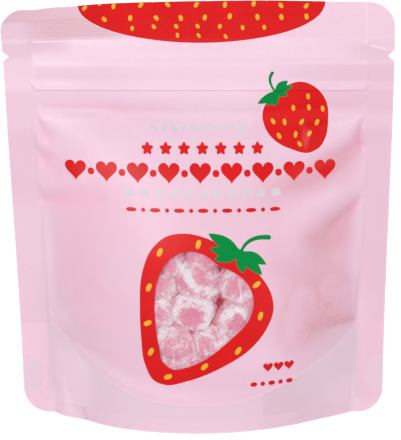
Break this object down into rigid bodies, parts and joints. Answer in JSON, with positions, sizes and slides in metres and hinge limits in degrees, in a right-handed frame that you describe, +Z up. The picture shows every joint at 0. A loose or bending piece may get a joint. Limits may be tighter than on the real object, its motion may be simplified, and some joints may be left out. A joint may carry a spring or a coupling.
{
  "type": "stand-up pouch of gummies",
  "caption": "Shut stand-up film pouch with a press zip, tear notches and a clear berry-shaped window that shows powdered soft candies.",
  "frame": {"origin": "on the ground under the middle of the pouch", "axes": "+Z up the standing pouch, -Y out of the front with the window, +X to the viewer's right"},
  "size_m": [0.1599, 0.0578, 0.1752],
  "materials": {
    "film": "satin pale pink laminated film, printed in red, green and yellow",
    "clear_film": "clear glossy film",
    "candy": "soft pink candy under patchy white starch powder"
  },
  "bodies": {
    "root": {"pouch": "film", "window": "clear_film", "gummies": "candy"}
  },
  "joints": []
}
